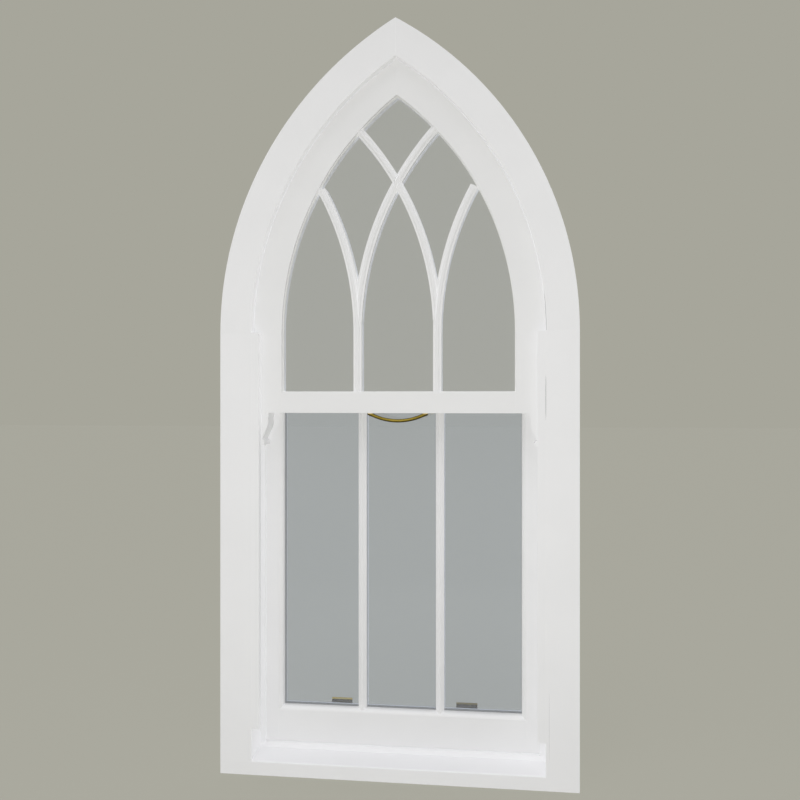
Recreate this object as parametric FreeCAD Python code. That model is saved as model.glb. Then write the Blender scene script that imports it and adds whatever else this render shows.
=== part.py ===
import FreeCAD, Part
import math
import os

# Pointed arch box sash window, outside face towards -Y, origin under the middle of the sill.
# All sizes are in millimetres. Depths are measured inwards from the front of the frame.

# Overall sizes
frame_width = 900.0
spring_height = 1119.0

# Box frame boards
lining_width = 81.0
lining_thickness = 22.0
pulley_stile_thickness = 22.0
back_lining_thickness = 9.0

# Beads
stop_bead_width = 20.0
stop_bead_thickness = 20.0
stop_bead_foot = 116.0
parting_bead_width = 10.0
parting_bead_projection = 14.0
parting_bead_clearance = 1.0
parting_groove_depth = 8.0
staff_bead_width = 20.0
staff_bead_thickness = 13.0
staff_bead_chamfer = 5.0
sill_bead_height = 20.0

# Sill
nose_height = 32.0
nose_radius = 4.0
sill_slope = 7.0
step_setback = 15.0
step_height = 11.0
step_run = 4.0
throat_width = 6.0
throat_depth = 5.0
throat_setback = 14.0

# Sashes
sash_thickness = 57.0
sash_side_clearance = 0.8
sash_running_gap = 2.0
sash_rest_gap = 0.3
upper_stile_width = 72.5
lower_stile_width = 58.5
bottom_rail_height = 92.8
meeting_rail_height = 52.3
meeting_rail_below_springing = 150.2
meeting_splay = 4.0
meeting_gap = 0.5
moulding_width = 11.0
inner_moulding_width = 12.0
moulding_lip = 8.5

# Horns under the upper sash
horn_length = 81.5
horn_width = 38.0
horn_waist = 21.0
horn_nib = 27.0
horn_step_drop = 11.5
horn_step_in = 2.5
horn_belly_drop = 37.5
horn_foot_height = 9.0
horn_neck_height = 7.0

# Double glazing
upper_glass_setback = 12.0
lower_glass_setback = 20.0
pane_thickness = 4.0
unit_thickness = 20.0
glass_bite = 12.0
glass_edge_clearance = 2.0
spacer_height = 7.0
spacer_sight = 0.6
strip_margin = 1.0

# Glazing bars
bar_spacing = 202.0
bar_width = 21.0
upper_bar_height = 9.0
upper_rib_flat = 6.0
upper_rib_edge = 1.0
lower_bar_height = 18.0
lower_ridge_flat = 2.0
lower_bar_swell = 0.5
bar_fillet = 4.5
bar_fillet_height = 4.0
inner_bar_nose = 15.0
inner_bar_nose_flat = 8.0
inner_bar_nose_depth = 4.0
tracery_radius = 754.5
branch_end_gap = 1.0
scribe_start = 30.0

# Brass hardware
handle_length = 151.0
handle_drop = 24.0
handle_rod = 8.5
handle_foot_radius = 7.0
handle_foot_thickness = 2.5
handle_setback = 19.0
handle_end_turn = 3.0
lift_length = 55.0
lift_plate_height = 24.0
lift_plate_thickness = 2.5
lift_reach = 14.0
lift_lip = 9.0
lift_offset = 166.0
lift_below_moulding = 2.0

# Places that follow from the sizes
half_width = frame_width / 2
arch_radius = frame_width
past_apex = 64.0
jamb_half = half_width - lining_width
arch_inner = arch_radius - lining_width
total_height = spring_height + math.sqrt(arch_radius ** 2 - half_width ** 2)

upper_face = stop_bead_thickness + sash_running_gap
upper_back = upper_face + sash_thickness
parting_front = upper_back + parting_bead_clearance
parting_back = parting_front + parting_bead_width
lower_face = parting_back + parting_bead_clearance
lower_back = lower_face + sash_thickness
staff_front = lower_back + sash_running_gap
frame_depth = staff_front + staff_bead_thickness
front = -frame_depth / 2
core_front = lining_thickness
core_back = frame_depth - lining_thickness

slope = math.tan(math.radians(sill_slope))
step_depth = lower_face - step_setback
meet = (upper_back + lower_face) / 2

sash_half = jamb_half - sash_side_clearance
sash_radius = arch_inner - sash_side_clearance
upper_day_half = sash_half - upper_stile_width
upper_day_radius = sash_radius - upper_stile_width
lower_day_half = sash_half - lower_stile_width
meeting_rail_top = spring_height - meeting_rail_below_springing
meeting_rail_bottom = meeting_rail_top - meeting_rail_height
horn_bottom = meeting_rail_bottom - horn_length

upper_straight = spring_height - meeting_rail_top
past_arch = 6.0

upper_glass_front = upper_face + upper_glass_setback
upper_glass_back = upper_glass_front + unit_thickness
lower_glass_front = lower_face + lower_glass_setback
lower_glass_back = lower_glass_front + unit_thickness
inner_edge = sash_thickness - inner_moulding_width
mitre_inset = max(moulding_width, inner_moulding_width)


def at_depth(depth):
    return front + depth


def sill_top(depth):
    """Height of the sill's top at a depth from the front."""
    height = nose_height + nose_radius + (depth - nose_radius) * slope
    if depth > step_depth:
        height = sill_top(step_depth) + step_height + (depth - step_depth - step_run) * slope
    return height


sash_foot = sill_top(lower_face) + sash_rest_gap
bottom_rail_top = sash_foot + bottom_rail_height


def solid_of(first, steps, place, sweep):
    """Face inside an outline of lines and arcs, swept into a solid.

    A step is an end point, or a pair of a way point and an end point for an arc."""
    edges = []
    here = first
    for step in steps + [first]:
        if isinstance(step[0], tuple):
            way, end = step
            edges.append(Part.Arc(place(*here), place(*way), place(*end)).toShape())
        else:
            end = step
            edges.append(Part.LineSegment(place(*here), place(*end)).toShape())
        here = end
    return sweep(Part.Face(Part.Wire(edges)))


def along(x, y, z):
    """Sweep that carries a face straight by these distances."""
    return lambda face: face.extrude(FreeCAD.Vector(x, y, z))


def round_arch(centre_x, level, angle, sense=1):
    """Sweep that turns a face upwards round an arch centre; sense is -1 for a centre on the right."""
    centre = FreeCAD.Vector(centre_x, 0, level)
    return lambda face: face.revolve(centre, FreeCAD.Vector(0, -sense, 0), angle)


def in_plan(level):
    """Places outline points, given as across and depth, in a level plane."""
    return lambda x, depth: FreeCAD.Vector(x, at_depth(depth), level)


def in_profile(x):
    """Places outline points, given as depth and height, in a plane across the window."""
    return lambda depth, z: FreeCAD.Vector(x, at_depth(depth), z)


def in_elevation(depth):
    """Places outline points, given as across and height, in the window's own plane."""
    return lambda x, z: FreeCAD.Vector(x, at_depth(depth), z)


def rectangle(u0, u1, v0, v1):
    return (u0, v0), [(u1, v0), (u1, v1), (u0, v1)]


def box(x0, x1, depth0, depth1, z0, z1):
    corner = FreeCAD.Vector(x0, at_depth(depth0), z0)
    return Part.makeBox(x1 - x0, depth1 - depth0, z1 - z0, corner)


def mirrored(shape):
    return shape.mirror(FreeCAD.Vector(0, 0, 0), FreeCAD.Vector(1, 0, 0))


def right_of_middle(shape):
    """The part of a right-hand arch piece that ends at the apex mitre."""
    keep = box(0, half_width + arch_radius, -frame_depth, 2 * frame_depth, 0, 2 * total_height)
    return shape.common(keep)


def arch_member(first, steps):
    """Section at the springing, carried up round the left arch centre to the apex mitre."""
    sweep = round_arch(-half_width, spring_height, past_apex)
    return right_of_middle(solid_of(first, steps, in_plan(spring_height), sweep))


def arch_board(inner, outer, depth0, depth1):
    """Arch member of rectangular section between two radii."""
    first, steps = rectangle(inner - half_width, outer - half_width, depth0, depth1)
    return arch_member(first, steps)


# Sill


def sill_block():
    """Sill with a rounded nose and a step under the lower sash, before its throat is cut."""
    knee = nose_radius * (1 - math.sqrt(0.5))
    first = (0.0, 0.0)
    steps = [(frame_depth, 0.0),
             (frame_depth, sill_top(lower_back)),
             (lower_back, sill_top(lower_back)),
             (step_depth + step_run, sill_top(step_depth) + step_height),
             (step_depth, sill_top(step_depth)),
             (nose_radius, nose_height + nose_radius),
             ((knee, nose_height + nose_radius - knee), (0.0, nose_height))]
    return solid_of(first, steps, in_profile(-half_width), along(frame_width, 0, 0))


def make_sill(block):
    throat = box(-half_width, half_width, throat_setback, throat_setback + throat_width,
                 0, throat_depth)
    return block.cut(throat)


# Box frame


def jamb_board(x0, x1, depth0, depth1, block):
    """Upright board of the right jamb, standing on the sill."""
    return box(x0, x1, depth0, depth1, 0, spring_height).cut(block)


def make_pulley_stile(block):
    """Inner wall of the right jamb, grooved for the parting bead."""
    board = jamb_board(jamb_half, jamb_half + pulley_stile_thickness, core_front, core_back, block)
    groove = box(jamb_half, jamb_half + parting_groove_depth, parting_front, parting_back,
                 0, spring_height)
    return board.cut(groove)


def make_head_core():
    """Solid arched head behind the face boards, grooved for the parting bead."""
    core = arch_board(arch_inner, arch_radius, core_front, core_back)
    groove = arch_board(arch_inner - parting_bead_projection, arch_inner + parting_groove_depth,
                        parting_front, parting_back)
    return core.cut(groove)


def make_parting_bead(block):
    return jamb_board(jamb_half - parting_bead_projection, jamb_half + parting_groove_depth,
                      parting_front, parting_back, block)


def make_parting_bead_head():
    return arch_board(arch_inner - parting_bead_projection, arch_inner + parting_groove_depth,
                      parting_front, parting_back)


def staff_bead_outline(width, edge, inwards):
    """Bead with a chamfered corner towards the room, from its seat at edge into the opening."""
    back = frame_depth
    first = (edge, staff_front)
    steps = [(edge + inwards * width, staff_front),
             (edge + inwards * width, back - staff_bead_chamfer),
             (edge + inwards * (width - staff_bead_chamfer), back),
             (edge, back)]
    return first, steps


def make_staff_bead():
    """Upright bead that holds the lower sash, seen from the room."""
    first, steps = staff_bead_outline(staff_bead_width, jamb_half, -1)
    foot = sill_top(lower_back) + sill_bead_height
    return solid_of(first, steps, in_plan(foot), along(0, 0, spring_height - foot))


def make_staff_bead_head():
    first, steps = staff_bead_outline(staff_bead_width, jamb_half, -1)
    return arch_member(first, steps)


def make_staff_bead_sill():
    first, steps = staff_bead_outline(sill_bead_height, sill_top(lower_back), 1)
    place = lambda z, depth: FreeCAD.Vector(-jamb_half, at_depth(depth), z)
    return solid_of(first, steps, place, along(2 * jamb_half, 0, 0))


# Sash members


def ovolo_way(width, rise):
    """Way point of the fullest arc from (width, 0) to (0, rise) that overruns neither face."""
    chord = math.hypot(width, rise)
    turn = min(math.atan2(rise, width), math.atan2(width, rise))
    swell = chord / 2 * math.tan(turn / 2)
    return width / 2 - swell * rise / chord, rise / 2 - swell * width / chord


def inner_moulding_point(angle):
    """Corner between two of the three flats that round a sash member's room side edge."""
    turn = math.radians(angle)
    return (inner_moulding_width * (1 - math.cos(turn)),
            inner_edge + inner_moulding_width * math.sin(turn))


def sash_section(width, face, glass, moulded):
    """Section of a sash member: u runs from the daylight edge into the wood."""
    setback = glass - face
    if moulded:
        rise = setback - moulding_lip
        outer = [(ovolo_way(moulding_width, rise), (0.0, rise))]
        first = (moulding_width, 0.0)
    else:
        outer = []
        first = (0.0, 0.0)
    steps = outer + [
        (0.0, setback),
        (glass_bite, setback),
        (glass_bite, setback + unit_thickness),
        (0.0, setback + unit_thickness),
        (0.0, inner_edge),
        inner_moulding_point(30),
        inner_moulding_point(60),
        (inner_moulding_width, sash_thickness),
        (width, sash_thickness),
        (width, 0.0)]
    lift = lambda point: (point[0], point[1] + face)
    lifted = [tuple(lift(p) for p in s) if isinstance(s[0], tuple) else lift(s) for s in steps]
    return lift(first), lifted


def upright_member(day_edge, width, face, glass, moulded, z0, z1):
    """Right-hand upright member, its daylight edge at day_edge."""
    first, steps = sash_section(width, face, glass, moulded)
    place = lambda u, depth: FreeCAD.Vector(day_edge + u, at_depth(depth), z0)
    return solid_of(first, steps, place, along(0, 0, z1 - z0))


def make_upper_stile():
    """Stile of the upper sash with its horn below the meeting rail."""
    member = upright_member(upper_day_half, upper_stile_width, upper_face, upper_glass_front, False,
                            meeting_rail_top, spring_height)
    beside_rail = box(upper_day_half, sash_half, upper_face, upper_back,
                      meeting_rail_bottom, meeting_rail_top)
    groove = box(upper_day_half, upper_day_half + glass_bite,
                 upper_glass_front, upper_glass_back,
                 meeting_rail_top - glass_bite, meeting_rail_top)
    return member.fuse([beside_rail.cut(groove), make_horn()]).removeSplitter()


def make_horn():
    """Horn of the right stile: a small step, an ogee down to the waist and a nib."""
    top = meeting_rail_bottom
    step = top - horn_step_drop
    belly = top - horn_belly_drop
    nib = horn_bottom + horn_foot_height
    waist = nib + horn_neck_height
    shoulder = horn_width - horn_step_in
    swell = horn_step_in / 2
    first = (0.0, top)
    steps = [(horn_width, top), (horn_width, step), (shoulder, step),
             ((shoulder + swell, (step + belly) / 2), (shoulder - swell, belly)),
             ((horn_nib, (belly + waist) / 2 - swell), (horn_waist, waist)),
             (horn_nib, nib), (horn_nib, horn_bottom), (0.0, horn_bottom)]
    place = lambda u, z: FreeCAD.Vector(sash_half - u, at_depth(upper_face), z)
    return solid_of(first, steps, place, along(0, sash_thickness, 0))


def make_upper_head():
    """Arched head of the upper sash, right half up to the apex mitre."""
    first, steps = sash_section(upper_stile_width, upper_face, upper_glass_front, False)
    place = lambda u, depth: FreeCAD.Vector(upper_day_half + u, at_depth(depth), spring_height)
    sweep = round_arch(-half_width, spring_height, past_apex)
    return right_of_middle(solid_of(first, steps, place, sweep))


def make_upper_meeting_rail():
    """Bottom rail of the upper sash, splayed where it meets the lower sash."""
    joint = meet - meeting_gap / 2
    seat = meeting_rail_top - glass_bite
    first = (upper_face, meeting_rail_bottom)
    steps = [(upper_face, meeting_rail_top),
             (upper_glass_front, meeting_rail_top), (upper_glass_front, seat),
             (upper_glass_back, seat), (upper_glass_back, meeting_rail_top),
             (joint - meeting_splay / 2, meeting_rail_top),
             (joint + meeting_splay / 2, meeting_rail_bottom)]
    return solid_of(first, steps, in_profile(-upper_day_half), along(2 * upper_day_half, 0, 0))


def make_lower_meeting_rail(stiles):
    """Top rail of the lower sash, behind the upper sash's meeting rail."""
    joint = meet + meeting_gap / 2
    half = lower_day_half + mitre_inset
    seat = meeting_rail_bottom + glass_bite
    first = (joint - meeting_splay / 2, meeting_rail_top)
    steps = [(joint + meeting_splay / 2, meeting_rail_bottom),
             (lower_glass_front, meeting_rail_bottom), (lower_glass_front, seat),
             (lower_glass_back, seat), (lower_glass_back, meeting_rail_bottom),
             (lower_back, meeting_rail_bottom), (lower_back, meeting_rail_top)]
    rail = solid_of(first, steps, in_profile(-half), along(2 * half, 0, 0))
    return rail.cut(stiles)


def make_lower_stile():
    """Stile of the lower sash: butt joints with the rails, their mouldings mitred."""
    member = upright_member(lower_day_half, lower_stile_width, lower_face, lower_glass_front, True,
                            sash_foot, meeting_rail_top)
    inset = mitre_inset
    first = (lower_day_half + inset, 0.0)
    steps = [(sash_half, 0.0), (sash_half, meeting_rail_top),
             (lower_day_half, meeting_rail_top),
             (lower_day_half, bottom_rail_top), (lower_day_half + inset, bottom_rail_top - inset)]
    zone = solid_of(first, steps, in_elevation(0.0), along(0, frame_depth, 0))
    return member.common(zone).cut(sill_envelope())


def sill_envelope():
    """Space under the lower sash, parallel to the sill's inner slope."""
    rise = sill_top(lower_face) + sash_rest_gap
    back_rise = rise + (frame_depth - step_depth) * slope
    first = (step_depth, 0.0)
    steps = [(frame_depth, 0.0),
             (frame_depth, back_rise - (lower_face - step_depth) * slope),
             (step_depth, rise - (lower_face - step_depth) * slope)]
    return solid_of(first, steps, in_profile(-half_width), along(frame_width, 0, 0))


def make_bottom_rail(stiles):
    """Bottom rail of the lower sash, its foot bevelled to the sill."""
    half = lower_day_half + mitre_inset
    first, steps = sash_section(bottom_rail_height, lower_face, lower_glass_front, True)
    place = lambda u, depth: FreeCAD.Vector(-half, at_depth(depth), bottom_rail_top - u)
    rail = solid_of(first, steps, place, along(2 * half, 0, 0))
    return rail.cut(stiles).cut(sill_envelope())


# Glazing bars


def upper_bar_section():
    """Outer face of an upper bar: two low fillets and a rib between them, u across the bar."""
    half = bar_width / 2
    rib = half - bar_fillet
    glass = upper_glass_front
    fillet = glass - bar_fillet_height
    crown = glass - upper_bar_height
    first = (-half, glass)
    steps = [(-half, fillet), (-rib, fillet), (-rib, fillet - upper_rib_edge),
             (-upper_rib_flat / 2, crown), (upper_rib_flat / 2, crown),
             (rib, fillet - upper_rib_edge), (rib, fillet), (half, fillet), (half, glass)]
    return first, steps


def upper_bar_room():
    """Room that an upper bar takes from one that is scribed to it: the rib's is open outwards."""
    half = bar_width / 2
    rib = half - bar_fillet
    glass = upper_glass_front
    fillet = glass - bar_fillet_height
    first = (-half, glass)
    steps = [(-half, fillet), (-rib, fillet), (-rib, upper_face), (rib, upper_face),
             (rib, fillet), (half, fillet), (half, glass)]
    return first, steps


def lower_bar_section():
    """Outer face of a lower bar: a ridge with slightly rounded sides."""
    half = bar_width / 2
    glass = lower_glass_front
    base = glass - moulding_lip
    ridge = glass - lower_bar_height
    flat = lower_ridge_flat / 2
    way = (base + ridge) / 2 - lower_bar_swell
    first = (-half, glass)
    steps = [(-half, base),
             ((-(half + flat) / 2, way), (-flat, ridge)),
             (flat, ridge),
             (((half + flat) / 2, way), (half, base)),
             (half, glass)]
    return first, steps


def inner_bar_section(glass, back):
    """Room side of a bar: square against the glass, with a chamfered nose."""
    half = bar_width / 2
    edge = back - inner_moulding_width
    first = (-half, glass)
    steps = [(-half, edge),
             (-inner_bar_nose / 2, back - inner_bar_nose_depth),
             (-inner_bar_nose_flat / 2, back), (inner_bar_nose_flat / 2, back),
             (inner_bar_nose / 2, back - inner_bar_nose_depth),
             (half, edge), (half, glass)]
    return first, steps


def straight_bar(section, x, z0, z1):
    first, steps = section
    place = lambda u, depth: FreeCAD.Vector(x + u, at_depth(depth), z0)
    return solid_of(first, steps, place, along(0, 0, z1 - z0))


def curved_bar(section, x, sense, angle):
    """Bar that leaves x upright and curves to the left; sense is -1 for one that curves right."""
    first, steps = section
    place = lambda u, depth: FreeCAD.Vector(x + u, at_depth(depth), spring_height)
    sweep = round_arch(x - sense * tracery_radius, spring_height, angle, sense)
    return solid_of(first, steps, place, sweep)


def daylight(grow=0.0):
    """Prism of the upper sash's daylight opening, grown or shrunk all round."""
    radius = upper_day_radius + grow
    half = upper_day_half + grow
    drop = upper_straight + grow
    first = (half, 0.0)
    up = math.acos(half_width / radius)
    apex = (0.0, radius * math.sin(up))
    way = (radius * math.cos(up / 2) - half_width, radius * math.sin(up / 2))
    steps = [(way, apex), ((-way[0], way[1]), (-half, 0.0)), (-half, -drop), (half, -drop)]
    place = lambda x, z: FreeCAD.Vector(x, at_depth(0.0), spring_height + z)
    return solid_of(first, steps, place, along(0, frame_depth, 0))


def crossing_angle():
    """Turn after which a bar that crosses the middle has passed the far side of the arch."""
    apart = tracery_radius - bar_spacing / 2 + half_width
    near = (apart ** 2 + tracery_radius ** 2 - upper_day_radius ** 2) / (2 * apart)
    return math.degrees(math.acos(near / tracery_radius)) + past_arch


def branch_angle():
    """Turn at which an outer branch's far corner comes to the arch."""
    edge = tracery_radius - bar_width / 2
    apart = half_width + bar_spacing / 2 + tracery_radius
    near = (apart ** 2 + edge ** 2 - (upper_day_radius - branch_end_gap) ** 2) / (2 * apart)
    return math.degrees(math.acos(near / edge))


def mullion(section):
    """Left upright bar of the upper sash with the outer branch that it bends into."""
    x = -bar_spacing / 2
    upright = straight_bar(section, x, meeting_rail_top, spring_height)
    return upright.fuse(curved_bar(section, x, 1, branch_angle())).removeSplitter()


def crossing_bar(section):
    """Long bar that leaves the left mullion and crosses the middle to the right of the arch.

    It starts where it has parted from the mullion by about the width of a chisel cut."""
    bar = curved_bar(section, -bar_spacing / 2, -1, crossing_angle())
    above = box(-half_width, half_width, 0, frame_depth, spring_height + scribe_start, total_height)
    return bar.common(daylight()).common(above)


def make_upper_bars():
    """Outer bars. The left crossing bar's rib runs through over the right one's fillets."""
    rib = bar_width / 2 - bar_fillet
    glass = upper_glass_front
    fillet = glass - bar_fillet_height
    stem = mullion(upper_bar_section())
    scribed = crossing_bar(upper_bar_section()).cut(mullion(upper_bar_room()))
    low_strip = crossing_bar(rectangle(-bar_width / 2, bar_width / 2, fillet, glass))
    rib_strip = crossing_bar(rectangle(-rib, rib, upper_face, fillet))
    over = scribed.cut(mirrored(low_strip))
    under = mirrored(scribed).cut(rib_strip)
    return stem, over, under


def make_inner_tracery():
    """Room side bars of the upper sash, jointed into one grille."""
    section = inner_bar_section(upper_glass_back, upper_back)
    stem = mullion(section)
    crossing = crossing_bar(section)
    return stem.fuse([crossing, mirrored(stem), mirrored(crossing)]).removeSplitter()


def lower_bar(section, z0, z1):
    return straight_bar(section, bar_spacing / 2, z0, z1)


def make_lower_bar(rail):
    """Bar of the lower sash, let into the bottom rail's moulding at its foot."""
    foot = bottom_rail_top - moulding_width
    return lower_bar(lower_bar_section(), foot, meeting_rail_bottom).cut(rail)


# Glazing units


def between(shape, depth0, depth1):
    slab = box(-half_width, half_width, depth0, depth1, 0, total_height)
    return shape.common(slab)


def glazing(outline, bars, glass_front, glass_back):
    """Two panes, and the spacer with its bar strips between them."""
    full = outline(glass_bite - glass_edge_clearance)
    outer1 = glass_front + pane_thickness
    inner0 = glass_back - pane_thickness
    panes = [between(full, glass_front, outer1), between(full, inner0, glass_back)]
    rim = outline(spacer_height - spacer_sight).cut(outline(-spacer_sight))
    spacer = between(rim.fuse(bars).removeSplitter(), outer1, inner0)
    return Part.makeCompound(panes), spacer


def strip_section():
    """Bar strip inside the glazing unit, a little narrower than the bars that cover it."""
    half = bar_width / 2 - strip_margin
    return rectangle(-half, half, 0.0, frame_depth)


def make_upper_glazing():
    stem = mullion(strip_section())
    crossing = crossing_bar(strip_section())
    bars = [stem, crossing, mirrored(stem), mirrored(crossing)]
    return glazing(daylight, bars, upper_glass_front, upper_glass_back)


def lower_daylight(grow=0.0):
    half = lower_day_half + grow
    return box(-half, half, 0, frame_depth, bottom_rail_top - grow, meeting_rail_bottom + grow)


def make_lower_glazing():
    strip = lower_bar(strip_section(), bottom_rail_top, meeting_rail_bottom)
    return glazing(lower_daylight, [strip, mirrored(strip)], lower_glass_front, lower_glass_back)


# Brass hardware


def make_bow_handle():
    """Bow handle under the upper meeting rail: a bent twelve-sided rod between two round feet."""
    y = at_depth(upper_face + handle_setback)
    seat = meeting_rail_bottom - handle_foot_thickness
    half = handle_length / 2 - handle_foot_radius
    sag = handle_drop - handle_rod / 2 - handle_foot_thickness
    bend = (half ** 2 + sag ** 2) / (2 * sag)
    turn = math.degrees(math.asin(half / bend)) + handle_end_turn
    centre = FreeCAD.Vector(0, y, seat - sag + bend)
    down = FreeCAD.Vector(0, 0, -1)
    middle = centre + down * bend
    across = FreeCAD.Vector(0, 1, 0)
    radius = handle_rod / 2
    turns = [math.radians(degrees) for degrees in range(0, 390, 30)]
    corners = [middle + across * (radius * math.cos(a)) + down * (radius * math.sin(a)) for a in turns]
    rod = Part.Face(Part.makePolygon(corners))
    bow = rod.rotated(centre, across, -turn).revolve(centre, across, 2 * turn)
    bow = bow.common(box(-half_width, half_width, 0, frame_depth, horn_bottom, seat))
    up = FreeCAD.Vector(0, 0, 1)
    feet = [Part.makeCylinder(handle_foot_radius, handle_foot_thickness,
                              FreeCAD.Vector(x, y, seat), up) for x in (-half, half)]
    return bow.fuse(feet).removeSplitter()


def make_sash_lift(x):
    """Finger lift on the bottom rail's room face: a plate that curls out and up into a lip."""
    t = lift_plate_thickness
    bend = (lift_reach - t) / 2
    plate_top = bottom_rail_top - inner_moulding_width - lift_below_moulding
    base = plate_top - lift_plate_height
    back = lower_back
    inner = bend - t / 2
    outer = bend + t / 2
    knee = math.sqrt(0.5)
    out = back + t / 2 + bend
    turn = plate_top + 2 * bend
    rim = turn + lift_lip
    first = (back, base)
    steps = [(back + t, base), (back + t, plate_top),
             ((out - inner * knee, plate_top + inner * knee), (out, plate_top + inner)),
             ((out + outer * knee, turn - outer * knee), (out + outer, turn)),
             (out + outer, rim), (out + inner, rim), (out + inner, turn),
             ((out + inner * knee, turn - inner * knee), (out, turn - inner)),
             ((out - outer * knee, plate_top + outer * knee), (back, plate_top))]
    return solid_of(first, steps, in_profile(x - lift_length / 2), along(lift_length, 0, 0))


def build():
    """All the pieces by name; a pair's left piece mirrors its right one."""
    block = sill_block()
    parts = {"sill": make_sill(block)}

    def pair(name, shape):
        parts[name + "_right"] = shape
        parts[name + "_left"] = mirrored(shape)
        return [shape, parts[name + "_left"]]

    pair("outer_lining", jamb_board(jamb_half, half_width, 0, core_front, block))
    pair("outer_lining_head", arch_board(arch_inner, arch_radius, 0, core_front))
    pair("inner_lining", jamb_board(jamb_half, half_width, core_back, frame_depth, block))
    pair("inner_lining_head", arch_board(arch_inner, arch_radius, core_back, frame_depth))
    pair("pulley_stile", make_pulley_stile(block))
    pair("back_lining", jamb_board(half_width - back_lining_thickness, half_width,
                                   core_front, core_back, block))
    pair("head_core", make_head_core())
    pair("stop_bead", box(jamb_half - stop_bead_width, jamb_half, 0, stop_bead_thickness,
                          stop_bead_foot, spring_height))
    pair("parting_bead", make_parting_bead(block))
    pair("parting_bead_head", make_parting_bead_head())
    pair("staff_bead", make_staff_bead())
    pair("staff_bead_head", make_staff_bead_head())
    parts["staff_bead_sill"] = make_staff_bead_sill()

    pair("upper_stile", make_upper_stile())
    pair("upper_head", make_upper_head())
    parts["upper_meeting_rail"] = make_upper_meeting_rail()
    stem, over, under = make_upper_bars()
    parts["upper_mullion_left"] = stem
    parts["upper_mullion_right"] = mirrored(stem)
    parts["tracery_bar_left"] = over
    parts["tracery_bar_right"] = under
    parts["upper_inner_tracery"] = make_inner_tracery()
    parts["upper_glass"], parts["upper_spacer"] = make_upper_glazing()

    stiles = pair("lower_stile", make_lower_stile())
    parts["lower_meeting_rail"] = make_lower_meeting_rail(stiles)
    parts["bottom_rail"] = make_bottom_rail(stiles)
    pair("lower_bar", make_lower_bar(parts["bottom_rail"]))
    section = inner_bar_section(lower_glass_back, lower_back)
    inner = lower_bar(section, bottom_rail_top, meeting_rail_bottom)
    parts["lower_inner_bars"] = Part.makeCompound([inner, mirrored(inner)])
    parts["lower_glass"], parts["lower_spacer"] = make_lower_glazing()

    parts["bow_handle"] = make_bow_handle()
    parts["sash_lift_left"] = make_sash_lift(-lift_offset)
    parts["sash_lift_right"] = make_sash_lift(lift_offset)
    return parts


os.makedirs("parts", exist_ok=True)
for name, shape in build().items():
    solids = shape.Solids
    print(name, len(solids), round(sum(s.Volume for s in solids) / 1000), "cm3", shape.isValid())
    shape.exportStep("parts/" + name + ".step")
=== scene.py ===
import math

import bmesh
import bpy
import numpy as np
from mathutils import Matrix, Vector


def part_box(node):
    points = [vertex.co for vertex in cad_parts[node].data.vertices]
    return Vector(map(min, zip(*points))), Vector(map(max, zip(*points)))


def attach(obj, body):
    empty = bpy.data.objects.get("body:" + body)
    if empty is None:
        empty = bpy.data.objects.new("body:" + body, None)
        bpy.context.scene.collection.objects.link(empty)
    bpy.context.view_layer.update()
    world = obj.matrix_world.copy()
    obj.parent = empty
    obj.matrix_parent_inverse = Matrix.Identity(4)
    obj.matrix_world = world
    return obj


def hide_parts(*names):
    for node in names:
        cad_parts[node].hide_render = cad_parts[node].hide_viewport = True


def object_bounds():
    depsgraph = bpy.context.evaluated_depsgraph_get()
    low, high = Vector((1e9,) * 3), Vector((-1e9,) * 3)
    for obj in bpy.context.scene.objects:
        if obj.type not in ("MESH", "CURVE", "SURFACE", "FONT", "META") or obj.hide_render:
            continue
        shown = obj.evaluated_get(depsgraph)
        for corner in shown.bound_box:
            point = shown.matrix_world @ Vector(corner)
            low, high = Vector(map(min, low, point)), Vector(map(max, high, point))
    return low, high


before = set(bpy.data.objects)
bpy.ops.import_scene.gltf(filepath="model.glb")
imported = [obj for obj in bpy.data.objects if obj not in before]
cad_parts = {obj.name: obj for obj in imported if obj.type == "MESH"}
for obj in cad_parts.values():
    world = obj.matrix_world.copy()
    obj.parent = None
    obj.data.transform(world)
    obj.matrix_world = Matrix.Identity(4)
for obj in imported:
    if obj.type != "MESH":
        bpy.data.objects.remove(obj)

bl_info = {
    "name": "Pointed Arch Sash Window",
    "version": (1, 0, 0),
    "blender": (4, 5, 0),
    "location": "View3D > Sidebar > Arch Window",
    "description": "Finishes a pointed arch box sash window with paint, sealed glazing and brass",
    "category": "Object",
}

BODY = "root"
CAD_LOW, CAD_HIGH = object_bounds()

# The two sides of the arch are drawn about each other's springing points, in metres
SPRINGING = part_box("outer_lining_head_left")[0].z
ARCH_CENTRE = CAD_HIGH.x
ARCH_RADIUS = 2 * ARCH_CENTRE

BRASS_NODES = ("bow_handle", "sash_lift_left", "sash_lift_right")
GLASS_NODES = ("upper_glass", "lower_glass")
SPACER_NODES = ("upper_spacer", "lower_spacer")
LEVEL_NODES = ("sill", "upper_meeting_rail", "lower_meeting_rail", "bottom_rail",
               "staff_bead_sill")

# Dark hairlines in the paint colour, drawn as cracks: painted shade of thin gaps. In metres: place
# across the board, which is X on a jamb and the radius on the arch, then the heights of foot and
# head, and the width in the middle
JAMB_SHADOW_LINES = ((0.3688, 0.9, 1.012, 0.0011), (0.377, 0.065, 0.244, 0.0003))
HEAD_SHADOW_LINES = ((0.8197, 1.108, 1.216, 0.0009),)
SHADOW_LINED_NODES = {"outer_lining_right": ("upright", JAMB_SHADOW_LINES),
                 "stop_bead_right": ("upright", JAMB_SHADOW_LINES),
                 "outer_lining_head_right": ("arched", HEAD_SHADOW_LINES)}
# Share of the paint colour left inside the hairlines: painted shade
SHADOW_LINE_SHADE = 0.35
SHADOW_LINE_WAVER = 0.0012

# Most of a noise pattern lies between these two values
NOISE_LOW, NOISE_HIGH = 0.3, 0.7

# Colour of the sky's light, a little cooler than the lamps', and the share of the floor's
# brightness that no shadow takes away
SKY_COLOUR = (0.985, 0.985, 1.02, 1.0)
FLOOR_GLOW = 0.8


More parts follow.
